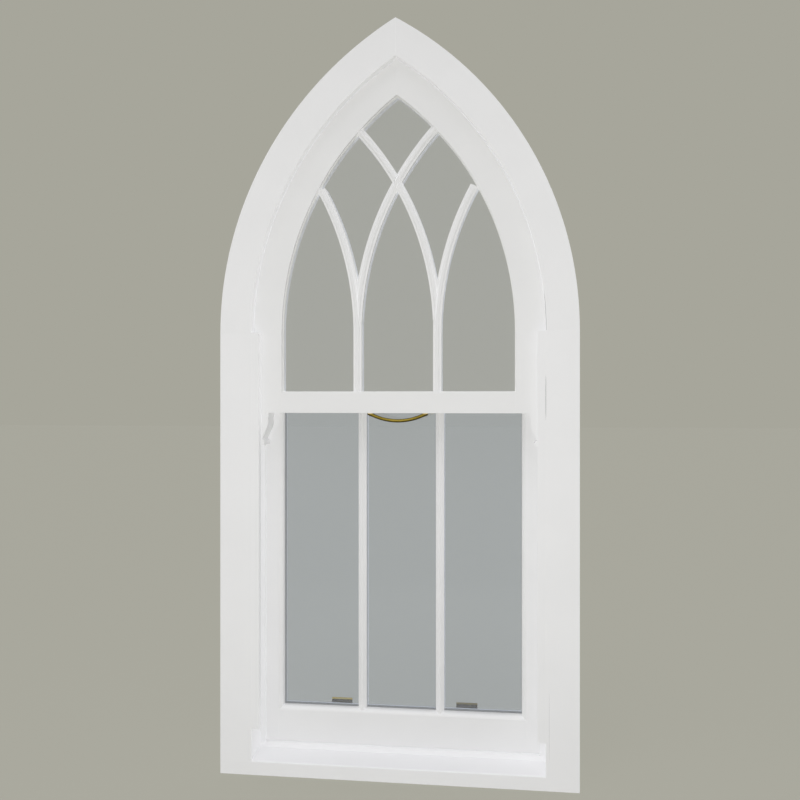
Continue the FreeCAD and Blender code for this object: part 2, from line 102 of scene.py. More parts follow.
def is_arched(name):
    """True for a timber piece that curves with the head or the tracery."""
    return "head" in name or "tracery" in name


def is_sash(name):
    """True for a timber piece of one of the two sashes."""
    return name.startswith(("upper_", "lower_", "tracery_", "bottom_"))


# Sizes and colours


class TimberPaint(bpy.types.PropertyGroup):
    frame_colour: bpy.props.FloatVectorProperty(
        name="Frame colour", description="Linear colour of the satin paint on the box frame",
        subtype="COLOR", size=3, min=0.0, max=1.0, default=(0.775, 0.775, 0.785))
    sash_colour: bpy.props.FloatVectorProperty(
        name="Sash colour", description="Linear colour of the satin paint on the two sashes",
        subtype="COLOR", size=3, min=0.0, max=1.0, default=(0.74, 0.74, 0.745))
    roughness: bpy.props.FloatProperty(
        name="Paint roughness", description="How matt the paint is",
        min=0.0, max=1.0, default=0.42, subtype="FACTOR")
    brush_width: bpy.props.FloatProperty(
        name="Brush mark width", description="Distance between brush marks across a board",
        default=0.0016, min=0.0002, unit="LENGTH")
    brush_depth: bpy.props.FloatProperty(
        name="Brush mark depth", description="Depth of the brush marks",
        default=0.00004, min=0.0, unit="LENGTH")
    easing: bpy.props.FloatProperty(
        name="Eased edge", description="Width of the rounding on every arris",
        default=0.00025, min=0.0, unit="LENGTH")


class SealedGlass(bpy.types.PropertyGroup):
    upper_tint: bpy.props.FloatVectorProperty(
        name="Upper glass tint", description="Linear colour that the upper panes pass on",
        subtype="COLOR", size=3, min=0.0, max=1.0, default=(0.96, 0.972, 1.0))
    upper_clearness: bpy.props.FloatProperty(
        name="Upper clearness", description="Share of the light that the upper panes don't scatter",
        default=0.987, min=0.0, max=1.0, subtype="FACTOR")
    lower_tint: bpy.props.FloatVectorProperty(
        name="Lower glass tint", description="Linear colour that the lower panes pass on",
        subtype="COLOR", size=3, min=0.0, max=1.0, default=(0.912, 0.942, 1.0))
    lower_clearness: bpy.props.FloatProperty(
        name="Lower clearness", description="Share of the light that the lower panes don't scatter",
        default=0.968, min=0.0, max=1.0, subtype="FACTOR")
    # Lit and shaded copies of one spacer bar: the upper one is lightened as painted light
    upper_spacer_lit_colour: bpy.props.FloatVectorProperty(
        name="Upper spacer colour", description="Linear colour of the satin aluminium spacer",
        subtype="COLOR", size=3, min=0.0, max=1.0, default=(0.88, 0.88, 0.86))
    # The lower spacer's grey is partly its coating and partly painted shade
    lower_spacer_shaded_colour: bpy.props.FloatVectorProperty(
        name="Lower spacer colour", description="Linear colour of the grey coated spacer",
        subtype="COLOR", size=3, min=0.0, max=1.0, default=(0.33, 0.33, 0.325))
    seal_width: bpy.props.FloatProperty(
        name="Seal width", description="Width of the white seal round the upper panes",
        default=0.0022, min=0.0, unit="LENGTH")
    edge_cover: bpy.props.FloatProperty(
        name="Edge cover", description="How far the upper panes run into the timber",
        default=0.01, min=0.0, unit="LENGTH")


class BrassFittings(bpy.types.PropertyGroup):
    colour: bpy.props.FloatVectorProperty(
        name="Brass colour", description="Linear colour of the polished brass",
        subtype="COLOR", size=3, min=0.0, max=1.0, default=(0.8, 0.6, 0.12))
    # Near black, darker than tarnish alone: painted shade standing for the dark room reflected in
    # the brass
    tarnish_and_shade_colour: bpy.props.FloatVectorProperty(
        name="Tarnish colour", description="Linear colour of the brass where no hand rubs it",
        subtype="COLOR", size=3, min=0.0, max=1.0, default=(0.045, 0.03, 0.002))
    # Pale cream of the feet: lacquered brass with a painted highlight in its colour
    rose_highlight_colour: bpy.props.FloatVectorProperty(
        name="Rose colour", description="Linear colour of the handle's lacquered feet",
        subtype="COLOR", size=3, min=0.0, max=1.0, default=(0.95, 0.8, 0.5))
    roughness: bpy.props.FloatProperty(
        name="Brass roughness", description="How dull the polished brass is",
        min=0.0, max=1.0, default=0.26, subtype="FACTOR")
    rod_size: bpy.props.FloatProperty(
        name="Handle rod", description="Thickness of the bow handle's rod",
        default=0.0085, min=0.002, unit="LENGTH")
    rose_thickness: bpy.props.FloatProperty(
        name="Handle rose", description="Thickness of the round feet of the bow handle",
        default=0.0025, min=0.0005, unit="LENGTH")
    lift_plate: bpy.props.FloatProperty(
        name="Lift plate", description="Thickness of the sash lifts' plates",
        default=0.0025, min=0.0005, unit="LENGTH")
    lift_easing: bpy.props.FloatProperty(
        name="Lift edge", description="Width of the rounding on the sash lifts' edges",
        default=0.0004, min=0.0, unit="LENGTH")
    screw_radius: bpy.props.FloatProperty(
        name="Screw head radius", description="Radius of the screws that hold the sash lifts",
        default=0.0036, min=0.001, unit="LENGTH")
    screw_slot: bpy.props.FloatProperty(
        name="Screw slot", description="Width of the slot in each screw head",
        default=0.0009, min=0.0002, unit="LENGTH")


class WindowStage(bpy.types.PropertyGroup):
    backdrop: bpy.props.FloatVectorProperty(
        name="Backdrop", description="Linear colour of the floor and the backdrop",
        subtype="COLOR", size=3, min=0.0, max=1.0, default=(0.386, 0.381, 0.328))
    floor_size: bpy.props.FloatProperty(
        name="Floor size", description="Width of the floor", default=60.0, unit="LENGTH")
    sky_strength: bpy.props.FloatProperty(
        name="Sky strength", description="Even light from all round", default=0.5, min=0.0)
    front_level: bpy.props.FloatProperty(
        name="Front lamp level", description="Share of the front lamp on a white face before it",
        default=0.34, min=0.0)
    front_distance: bpy.props.FloatProperty(
        name="Front lamp distance", description="From the outside face to the front lamp",
        default=2.4, min=0.1, unit="LENGTH")
    front_height: bpy.props.FloatProperty(
        name="Front lamp height", description="Height of the front lamp above the floor",
        default=1.0, unit="LENGTH")
    camera_side: bpy.props.FloatProperty(
        name="Camera to the right", description="Camera's place right of the window's middle",
        default=0.3445, unit="LENGTH")
    camera_distance: bpy.props.FloatProperty(
        name="Camera distance", description="From the window's outside face to the camera",
        default=2.3693, unit="LENGTH")
    camera_height: bpy.props.FloatProperty(
        name="Camera height", description="Camera's height above the sill's underside",
        default=0.9531, unit="LENGTH")
    camera_turn: bpy.props.FloatProperty(
        name="Camera turn", description="How far the camera turns to the left",
        default=math.radians(8.0), subtype="ANGLE")


# Lamps: name, degrees to the right, degrees up, level, softness in degrees, casts a shadow
LAMPS = (
    ("key", -15.0, 55.0, 0.1, 35.0, True),
    ("front_fill", 10.0, 0.0, 0.1, 50.0, False),
    ("right_fill", 105.0, 0.0, 0.37, 50.0, False),
    ("left_fill", -105.0, 0.0, 0.42, 50.0, False),
    ("top_fill", 0.0, 75.0, 0.2, 50.0, False),
    ("back_fill", 180.0, 10.0, 0.2, 50.0, False),
)

GROUPS = {
    "timber_paint": TimberPaint,
    "sealed_glass": SealedGlass,
    "brass_fittings": BrassFittings,
    "window_stage": WindowStage,
}


# Shader building


def shader_tree(name):
    """New material with an output and a Principled shader."""
    material = bpy.data.materials.new(name)
    material.use_nodes = True
    tree = material.node_tree
    tree.nodes.clear()
    output = tree.nodes.new("ShaderNodeOutputMaterial")
    shader = tree.nodes.new("ShaderNodeBsdfPrincipled")
    tree.links.new(shader.outputs["BSDF"], output.inputs["Surface"])
    return material, tree, shader, output


def plug(tree, socket, value):
    """Sets a socket to a number, a colour or another node's output."""
    if isinstance(value, bpy.types.NodeSocket):
        tree.links.new(value, socket)
    else:
        socket.default_value = value


def maths(tree, operation, *values):
    """Output of a math node that is fed with numbers or other nodes' outputs."""
    node = tree.nodes.new("ShaderNodeMath")
    node.operation = operation
    for socket, value in zip(node.inputs, values):
        plug(tree, socket, value)
    return node.outputs["Value"]


def within_one(tree, value):
    """The value, kept between 0 and 1."""
    return maths(tree, "MINIMUM", maths(tree, "MAXIMUM", value, 0.0), 1.0)


def noise(tree, vector, scale, detail=3.0, roughness=0.5):
    """Cloudy pattern with about scale clouds to the metre."""
    node = tree.nodes.new("ShaderNodeTexNoise")
    plug(tree, node.inputs["Vector"], vector)
    node.inputs["Scale"].default_value = scale
    node.inputs["Detail"].default_value = detail
    node.inputs["Roughness"].default_value = roughness
    return node.outputs["Fac"]


def swing(tree, pattern, size):
    """Number that swings about 0 with a noise pattern, whose middle is 0.5."""
    return maths(tree, "MULTIPLY", maths(tree, "SUBTRACT", pattern, 0.5), size)


def colour_between(tree, pattern, low, high):
    """Colour that runs from low to high over most of a noise pattern."""
    node = tree.nodes.new("ShaderNodeValToRGB")
    first, last = node.color_ramp.elements
    first.position, first.color = NOISE_LOW, (*low, 1.0)
    last.position, last.color = NOISE_HIGH, (*high, 1.0)
    plug(tree, node.inputs["Fac"], pattern)
    return node.outputs["Color"]


def shades(tree, pattern, colour, darkest, lightest):
    """The colour, between its shares darkest and lightest over most of a noise pattern."""
    return colour_between(tree, pattern, tuple(colour * darkest),
                          tuple(np.minimum(colour * lightest, 1.0)))


def blend(tree, factor, low, high):
    """Mix of two colours, each a colour or another node's output."""
    node = tree.nodes.new("ShaderNodeMix")
    node.data_type = "RGBA"
    plug(tree, node.inputs["Factor"], factor)
    colours = [socket for socket in node.inputs if socket.type == "RGBA"]
    for socket, value in zip(colours, (low, high)):
        plug(tree, socket, (*value, 1.0) if isinstance(value, tuple) else value)
    return next(socket for socket in node.outputs if socket.type == "RGBA")


def show_mix(tree, output, factor, first, second):
    """Sends two shaders to the output, only the second of them where the factor is 1."""
    mix = tree.nodes.new("ShaderNodeMixShader")
    plug(tree, mix.inputs["Fac"], factor)
    tree.links.new(first, mix.inputs[1])
    tree.links.new(second, mix.inputs[2])
    tree.links.new(mix.outputs["Shader"], output.inputs["Surface"])


def bumpy(tree, shader, height, depth):
    """Raises the shader's surface by a height of 0 to 1 times a depth in metres."""
    bump = tree.nodes.new("ShaderNodeBump")
    bump.inputs["Strength"].default_value = 1.0
    bump.inputs["Distance"].default_value = depth
    plug(tree, bump.inputs["Height"], height)
    plug(tree, shader.inputs["Normal"], bump.outputs["Normal"])


def spread(tree, pattern, low, high):
    """Number that runs from low to high over most of a noise pattern."""
    node = tree.nodes.new("ShaderNodeMapRange")
    node.inputs["From Min"].default_value = NOISE_LOW
    node.inputs["From Max"].default_value = NOISE_HIGH
    node.inputs["To Min"].default_value = low
    node.inputs["To Max"].default_value = high
    plug(tree, node.inputs["Value"], pattern)
    return node.outputs["Result"]


def object_axes(tree):
    """X, Y and Z of a point of the piece, in metres."""
    coordinates = tree.nodes.new("ShaderNodeTexCoord")
    split = tree.nodes.new("ShaderNodeSeparateXYZ")
    tree.links.new(coordinates.outputs["Object"], split.inputs["Vector"])
    return split.outputs["X"], split.outputs["Y"], split.outputs["Z"]


def joined(tree, x, y, z):
    """Coordinates made of three numbers."""
    node = tree.nodes.new("ShaderNodeCombineXYZ")
    for socket, value in zip(node.inputs, (x, y, z)):
        plug(tree, socket, value)
    return node.outputs["Vector"]


def board_lengthways(tree, run):
    """Coordinates with Z along the board: run is upright, level or arched.

    On the arch Z is the angle about the arch's centre, made a length by its radius."""
    x, y, z = object_axes(tree)
    if run == "upright":
        return joined(tree, x, y, z)
    if run == "level":
        return joined(tree, z, y, x)
    across = maths(tree, "ADD", maths(tree, "ABSOLUTE", x), ARCH_CENTRE)
    up = maths(tree, "SUBTRACT", z, SPRINGING)
    squares = maths(tree, "ADD", maths(tree, "MULTIPLY", across, across),
                    maths(tree, "MULTIPLY", up, up))
    radius = maths(tree, "SQRT", squares)
    angle = maths(tree, "ARCTAN2", up, across)
    return joined(tree, radius, y, maths(tree, "MULTIPLY", angle, ARCH_RADIUS))


def stretched(tree, vector, along):
    """Coordinates that draw a pattern out along the board, the more the smaller along is."""
    node = tree.nodes.new("ShaderNodeMapping")
    node.inputs["Scale"].default_value = (1.0, 1.0, along)
    plug(tree, node.inputs["Vector"], vector)
    return node.outputs["Vector"]


def painted_shadow_line(tree, across, up, place, foot, head, width):
    """1 inside an upright dark hairline of painted shade, drawn as a crack, else 0: it wavers about
    its place and fades to a point at its foot and head."""
    bends = noise(tree, joined(tree, 0.0, 0.0, up), scale=60.0)
    off = maths(tree, "SUBTRACT", maths(tree, "SUBTRACT", across, place),
                swing(tree, bends, SHADOW_LINE_WAVER))
    from_middle = maths(tree, "ABSOLUTE", maths(tree, "SUBTRACT", up, (foot + head) / 2))
    reach = maths(tree, "DIVIDE", from_middle, (head - foot) / 2)
    bluntness = 4.0
    share = maths(tree, "SUBTRACT", 1.0, maths(tree, "POWER", reach, bluntness))
    room = maths(tree, "MULTIPLY", share, width / 2)
    return maths(tree, "LESS_THAN", maths(tree, "ABSOLUTE", off), room)


def paint_material(coat, run, paint, shadow_lines=()):
    """Satin paint with brush marks along the board and a faint mottle.

    Each shadow line is a dark hairline of painted shade, drawn as a crack: its place across the
    board, foot, head and width."""
    material, tree, shader, _ = shader_tree(coat + "_paint_" + run + ("_shadow_lined" if shadow_lines else ""))
    place = board_lengthways(tree, run)
    mottle = noise(tree, place, scale=9.0, detail=4.0)
    strokes = noise(tree, stretched(tree, place, along=0.04), scale=1.0 / paint.brush_width,
                    roughness=0.6)
    colour = np.array(paint.frame_colour if coat == "frame" else paint.sash_colour)
    mottle_share, stroke_share = 0.75, 0.25
    tone = maths(tree, "ADD", maths(tree, "MULTIPLY", mottle, mottle_share),
                 maths(tree, "MULTIPLY", strokes, stroke_share))
    base = shades(tree, tone, colour, darkest=0.985, lightest=1.012)
    split = tree.nodes.new("ShaderNodeSeparateXYZ")
    plug(tree, split.inputs["Vector"], place)
    _, _, z = object_axes(tree)
    # Painted shade: dark hairlines where thin gaps would be shaded, drawn as cracks
    for shadow_line in shadow_lines:
        in_shadow_line = painted_shadow_line(tree, split.outputs["X"], z, *shadow_line)
        base = blend(tree, in_shadow_line, base, tuple(colour * SHADOW_LINE_SHADE))
    plug(tree, shader.inputs["Base Color"], base)
    smoother, duller = 0.05, 0.06
    plug(tree, shader.inputs["Roughness"],
         spread(tree, mottle, paint.roughness - smoother, paint.roughness + duller))
    bumpy(tree, shader, strokes, paint.brush_depth)
    return material


def pane_material(name, tint, clearness):
    """Glass with a faint milky film. Shadow rays pass it straight, so that the lamps reach what
    lies behind it."""
    material, tree, shader, output = shader_tree(name)
    shader.inputs["Base Color"].default_value = (*tint, 1.0)
    shader.inputs["Transmission Weight"].default_value = clearness
    shader.inputs["Roughness"].default_value = 0.0
    shader.inputs["IOR"].default_value = 1.5
    light_path = tree.nodes.new("ShaderNodeLightPath")
    clear = tree.nodes.new("ShaderNodeBsdfTransparent")
    clear.inputs["Color"].default_value = (*tint, 1.0)
    show_mix(tree, output, light_path.outputs["Is Shadow Ray"], shader.outputs["BSDF"],
             clear.outputs["BSDF"])
    return material


def spacer_material(name, colour):
    """Roll-formed spacer bar: fine upright marks, and dark pinholes to its drying beads."""
    material, tree, shader, _ = shader_tree(name)
    place = board_lengthways(tree, "upright")
    marks = noise(tree, stretched(tree, place, along=0.05), scale=900.0, detail=2.0)
    cloud = noise(tree, place, scale=55.0, detail=4.0)
    pinholes = tree.nodes.new("ShaderNodeTexVoronoi")
    pinholes.inputs["Scale"].default_value = 260.0
    pinholes.inputs["Randomness"].default_value = 0.15
    plug(tree, pinholes.inputs["Vector"], place)
    hole_size, hole_shade = 0.1, 0.3
    hole = maths(tree, "LESS_THAN", pinholes.outputs["Distance"], hole_size)
    colour = np.array(colour)
    bare = shades(tree, cloud, colour, darkest=0.93, lightest=1.05)
    plug(tree, shader.inputs["Base Color"], blend(tree, hole, bare, tuple(colour * hole_shade)))
    plug(tree, shader.inputs["Roughness"], spread(tree, cloud, low=0.35, high=0.48))
    bumpy(tree, shader, marks, depth=0.00001)
    return material


def brass_material(name, fittings, wear_and_reflection):
    """Cast brass: wear 1 is polished brass, 0 is near-black tarnish. The two stand partly for wear
    and
    partly for painted light: bright where a glint would be, near black where a dark room would be
    reflected.

    The wear and reflection share comes from a function that adds its nodes to the tree and gives
    their output."""
    material, tree, shader, _ = shader_tree(name)
    place = board_lengthways(tree, "level")
    cloud = noise(tree, place, scale=140.0, detail=4.0)
    marks = noise(tree, stretched(tree, place, along=0.08), scale=700.0, detail=2.0)
    rubbed_and_lit = within_one(tree, maths(tree, "ADD", wear_and_reflection(tree), swing(tree, cloud, size=0.5)))
    tarnish_and_shade, polished = tuple(fittings.tarnish_and_shade_colour), tuple(fittings.colour)
    plug(tree, shader.inputs["Base Color"], blend(tree, rubbed_and_lit, tarnish_and_shade, polished))
    shader.inputs["Metallic"].default_value = 1.0
    dullness = 0.2
    plug(tree, shader.inputs["Roughness"],
         maths(tree, "SUBTRACT", fittings.roughness + dullness,
               maths(tree, "MULTIPLY", rubbed_and_lit, dullness)))
    bumpy(tree, shader, marks, depth=0.00002)
    return material


def stored_wear_and_reflection(tree):
    """The wear and painted reflection that is stored at the points of a piece."""
    node = tree.nodes.new("ShaderNodeAttribute")
    node.attribute_name = "wear_and_reflection"
    return node.outputs["Fac"]


def rim_wear_and_light(top, rim_polish_and_light):
    """Wear and painted light of a sash lift with its top at a height. Faces towards the room are
    bright brass and the others near-black tarnish: a painted shade of the dark room that they would
    reflect.
    The top rim is bright by the rim's polish share down to the rim's depth, and none from twice
    that depth on, partly wear and partly a painted highlight."""
    rim_depth = 0.0025

    def wear_and_reflection(tree):
        _, _, z = object_axes(tree)
        depths = maths(tree, "DIVIDE", maths(tree, "SUBTRACT", top, z), rim_depth)
        share = within_one(tree, maths(tree, "SUBTRACT", 2.0, depths))
        rim = maths(tree, "MULTIPLY", share, rim_polish_and_light)
        # Faces towards the room bright, the rest dark: painted light and shade by the way each face
        # turns
        geometry = tree.nodes.new("ShaderNodeNewGeometry")
        split = tree.nodes.new("ShaderNodeSeparateXYZ")
        tree.links.new(geometry.outputs["Normal"], split.inputs["Vector"])
        return maths(tree, "MAXIMUM", rim, split.outputs["Y"])
    return wear_and_reflection


def rose_highlight_material(fittings):
    """Pale lacquered brass of the handle's feet, with light mottling; the pale cream is a painted
    highlight.
    """
    material, tree, shader, _ = shader_tree("roses_painted_highlight")
    cloud = noise(tree, board_lengthways(tree, "upright"), scale=220.0)
    colour = np.array(fittings.rose_highlight_colour)
    plug(tree, shader.inputs["Base Color"],
         shades(tree, cloud, colour, darkest=0.92, lightest=1.05))
    shader.inputs["Metallic"].default_value = 0.35
    plug(tree, shader.inputs["Roughness"], spread(tree, cloud, low=0.22, high=0.34))
    return material


def seal_material():
    """White silicone: smooth and satin, with faint tooling ripples."""
    material, tree, shader, _ = shader_tree("white_seal")
    place = board_lengthways(tree, "arched")
    ripple = noise(tree, stretched(tree, place, along=0.2), scale=300.0, detail=2.0)
    plug(tree, shader.inputs["Base Color"],
         colour_between(tree, ripple, low=(0.72, 0.72, 0.71), high=(0.77, 0.77, 0.765)))
    shader.inputs["Roughness"].default_value = 0.38
    bumpy(tree, shader, ripple, depth=0.00003)
    return material


def dress(node, material):
    """Gives a carried-over piece its finish."""
    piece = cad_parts[node]
    piece.data.materials.clear()
    piece.data.materials.append(material)
    return piece


def closed_surface(name, grids, material, capped=True, wear_and_reflection=None):
    """One smooth object made of closed surfaces.

    A grid is rows x columns x 3 points. Its columns wrap round. Its first and last rows each close
    in a fan on their own middle if capped, and otherwise join each other. The wear and painted
    reflection is a number that the material can read for each point: a grid's points in order, then
    its two middles."""
    points, faces, start = [], [], 0
    for grid in grids:
        rows, columns, _ = grid.shape
        index = start + np.arange(rows * columns).reshape(rows, columns)
        beside = np.roll(index, -1, axis=1)
        below, below_beside = np.roll(index, -1, axis=0), np.roll(beside, -1, axis=0)
        quads = np.stack([index, beside, below_beside, below], axis=-1)
        poles = grid[[0, -1]].mean(axis=1)
        if capped:
            quads = quads[:-1]
            for number, row in enumerate((0, -1)):
                middle = np.full(columns, start + rows * columns + number)
                faces += np.stack([index[row], beside[row], middle], axis=-1).tolist()
        else:
            poles = poles[:0]
        points.append(np.concatenate([grid.reshape(-1, 3), poles]))
        faces += quads.reshape(-1, 4).tolist()
        start += rows * columns + len(poles)
    mesh = bpy.data.meshes.new(name)
    mesh.from_pydata(np.concatenate(points).tolist(), [], faces)
    if wear_and_reflection is not None:
        mesh.attributes.new("wear_and_reflection", "FLOAT", "POINT").data.foreach_set("value", wear_and_reflection)
    shell = bmesh.new()
    shell.from_mesh(mesh)
    bmesh.ops.remove_doubles(shell, verts=shell.verts, dist=0.000001)
    bmesh.ops.recalc_face_normals(shell, faces=shell.faces)
    shell.to_mesh(mesh)
    shell.free()
    mesh.shade_smooth()
    mesh.set_sharp_from_angle(angle=math.radians(35.0))
    mesh.materials.append(material)
    piece = bpy.data.objects.new(name, mesh)
    bpy.context.scene.collection.objects.link(piece)
    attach(piece, BODY)
    return piece


def ease_edges(piece, width):
    """Rounds the arrises of a CAD piece. Its loose triangles are joined and made flat first."""
    weld = piece.modifiers.new("join_faces", "WELD")
    weld.merge_threshold = 0.00001
    flat = piece.modifiers.new("flat_faces", "DECIMATE")
    flat.decimate_type = "DISSOLVE"
    flat.angle_limit = math.radians(0.4)
    bevel = piece.modifiers.new("eased_edges", "BEVEL")
    bevel.width = width
    bevel.segments = 2
    bevel.limit_method = "ANGLE"
    bevel.angle_limit = math.radians(28.0)
    bevel.harden_normals = True


# Pieces


class WINDOW_OT_paint_timber(bpy.types.Operator):
    """Paint the box frame, both sashes and their bars"""
    bl_idname = "window.paint_timber"
    bl_label = "Paint timber"

    def execute(self, context):
        paint = context.scene.timber_paint
        finishes = {(coat, run): paint_material(coat, run, paint)
                    for coat in ("frame", "sash") for run in ("upright", "level", "arched")}
        others = BRASS_NODES + GLASS_NODES + SPACER_NODES
        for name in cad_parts:
            if name in others:
                continue
            coat = "sash" if is_sash(name) else "frame"
            run = "level" if name in LEVEL_NODES else "arched" if is_arched(name) else "upright"
            ease_edges(dress(name, finishes[coat, run]), paint.easing)
        # Boards with painted shade hairlines, drawn as cracks, get paint of their own
        for name, (run, shadow_lines) in SHADOW_LINED_NODES.items():
            dress(name, paint_material("frame", run, paint, shadow_lines))
        return {"FINISHED"}


def upper_daylight(cover):
    """Clear opening of the upper sash as a closed line of points, anticlockwise from outside:
    two sides, two arcs about the far springing points that meet at the apex, and a level foot."""
    low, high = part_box("upper_glass")
    half = high.x - cover
    foot = low.z + cover
    radius = half + ARCH_CENTRE
    arc_points = 49
    turn = np.linspace(0.0, math.acos(ARCH_CENTRE / radius), arc_points)
    right = np.stack([radius * np.cos(turn) - ARCH_CENTRE, SPRINGING + radius * np.sin(turn)],
                     axis=-1)
    left = right[-2::-1] * (-1.0, 1.0)
    return np.concatenate([[[-half, foot], [half, foot]], right, left])


def seal_surface(cover, width):
    """Seal in the corner between the upper sash and the face of its outer pane.

    Point (k, i) is point i of the daylight line, moved inwards along the mitre there and forwards
    off the glass by point k of the profile, which is a corner with a hollow face."""
    line = upper_daylight(cover)
    run = np.roll(line, -1, axis=0) - line
    run /= np.linalg.norm(run, axis=1)[:, None]
    inward = np.stack([-run[:, 1], run[:, 0]], axis=-1)
    before = np.roll(inward, 1, axis=0)
    mitre = (inward + before) / (1.0 + (inward * before).sum(axis=1))[:, None]
    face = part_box("upper_glass")[0].y
    hollow, hollow_points = 0.75, 6
    bow = np.linspace(0.0, np.pi / 2, hollow_points)
    sideways = width * np.concatenate([[0.0], 1.0 - hollow * np.sin(bow[:-1]), [0.0]])
    forward = width * np.concatenate([[0.0, 0.0], 1.0 - hollow * np.cos(bow[1:])])
    flat = line[None] + sideways[:, None, None] * mitre[None]
    depth = face - forward[:, None] * np.ones(len(line))
    return np.stack([flat[..., 0], depth, flat[..., 1]], axis=-1)


class WINDOW_OT_glaze(bpy.types.Operator):
    """Glaze both sashes with sealed units"""
    bl_idname = "window.glaze"
    bl_label = "Glaze"

    def execute(self, context):
        glass = context.scene.sealed_glass
        upper = pane_material("upper_panes", glass.upper_tint, glass.upper_clearness)
        lower = pane_material("lower_panes", glass.lower_tint, glass.lower_clearness)
        dress("upper_glass", upper)
        dress("lower_glass", lower)
        # Two copies of one spacer bar, lightened for the upper sash and darkened for the lower:
        # painted light and shade
        dress("upper_spacer", spacer_material("spacer_with_painted_light", glass.upper_spacer_lit_colour))
        dress("lower_spacer", spacer_material("spacer_with_painted_shade", glass.lower_spacer_shaded_colour))
        seal = seal_surface(glass.edge_cover, glass.seal_width)
        closed_surface("upper_pane_seal", [seal], seal_material(), capped=False)
        return {"FINISHED"}


def full_turn(steps):
    """Angles all the way round, without the last, which is the first again."""
    return np.linspace(0.0, 2 * np.pi, steps, endpoint=False)


def bow_surface(low, high, radius, thickness):
    """Rod of a bow handle between its two feet, as a grid of rings, and the wear of each point,
    which is most a little above the middle of the outside and least on top and underneath: partly
    wear, and partly a painted reflection, bright round the front and back and dark on top and
    underneath.

    Point (t, a) is the bow's axis at angle t of its arc plus the rod's radius there times the unit
    vector at angle a round the axis. The radius swells where the rod meets a foot, and points
    above the middle of a foot's thickness are lowered to it."""
    foot = (high.y - low.y) / 2
    seat = high.z - thickness
    half = high.x - foot
    sag = seat - radius - low.z
    bend = (half ** 2 + sag ** 2) / (2 * sag)
    into_foot = math.radians(2.0)
    turn = math.asin(half / bend) + into_foot
    rings, ring_points = 97, 32
    t, a = np.meshgrid(np.linspace(-turn, turn, rings), full_turn(ring_points), indexing="ij")
    centre = seat - sag + bend
    below = np.maximum(seat - (centre - bend * np.cos(t)), 0.0)
    swell, swell_length = 0.3, 0.5 * radius
    ring = radius * (1.0 + swell * np.exp(-below / swell_length))
    along = ring * np.sin(a)
    x = (bend + along) * np.sin(t)
    y = (low.y + high.y) / 2 + ring * np.cos(a)
    z = np.minimum(centre - (bend + along) * np.cos(t), seat + thickness / 2)
    # Painted reflection as much as wear: a bright band round front and back, near black on top and
    # underneath
    tilt, narrowness = 0.3, 5.0
    wear_and_reflection = np.abs(np.cos(a - tilt)) ** narrowness
    return np.stack([x, y, z], axis=-1), wear_and_reflection


def foot_surface(x, y, top, radius, thickness):
    """Round foot as a turned profile: point (s, a) is profile point s at angle a about the upright
    line through x and y. The profile runs from a hub out over the flat top, down round a quarter
    circle and back underneath."""
    hub, edge = radius * 0.4, thickness * 0.6
    edge_points, sides = 7, 40
    bow = np.linspace(0.0, np.pi / 2, edge_points)
    out = np.concatenate([[hub, radius], radius - edge + edge * np.cos(bow), [hub]])
    down = np.concatenate([[0.0, 0.0], thickness - edge + edge * np.sin(bow), [thickness]])
    a = full_turn(sides)
    grid = [x + np.outer(out, np.cos(a)), y + np.outer(out, np.sin(a)),
            top - np.outer(down, np.ones_like(a))]
    return np.stack(grid, axis=-1)


def screw_surface(x, face, z, radius, slot, turn):
    """Slotted raised screw head that stands on a face towards +Y.

    Point (v, u) lies v across the slot and at share u of the chord there, first over the head and
    then back along the face. The head's height is a dome, a third of the radius high, less the
    slot's depth where v is within the slot, and nothing at the rim."""
    crown, crown_fall, rim = radius / 3, 0.8, 0.9999
    slot_depth, slot_edge = radius * 0.2, slot / 2
    slot_foot = slot_edge * 0.98
    side_points, last_angle, chord_points = 9, 1.3, 17
    beside_slot = radius * np.cos(np.linspace(0.0, last_angle, side_points))
    across = np.concatenate([-beside_slot, [-slot_edge, -slot_foot, slot_foot, slot_edge],
                             beside_slot[::-1]])
    share = np.linspace(-1.0, 1.0, chord_points)
    v, u = np.meshgrid(across, np.concatenate([share, share[::-1]]), indexing="ij")
    chord = u * np.sqrt(np.maximum(radius ** 2 - v ** 2, 0.0))
    reach = (chord ** 2 + v ** 2) / radius ** 2
    dome = crown * np.sqrt(np.maximum(1.0 - crown_fall * reach, 0.0)) * (reach < rim)
    dome = np.where(np.abs(v) < (slot_edge + slot_foot) / 2, dome - slot_depth, dome)
    over_head = np.arange(u.shape[1]) < len(share)
    height = np.maximum(np.where(over_head, dome, 0.0), 0.0)
    turned_x = chord * math.cos(turn) - v * math.sin(turn)
    turned_z = chord * math.sin(turn) + v * math.cos(turn)
    return np.stack([x + turned_x, face + height, z + turned_z], axis=-1)


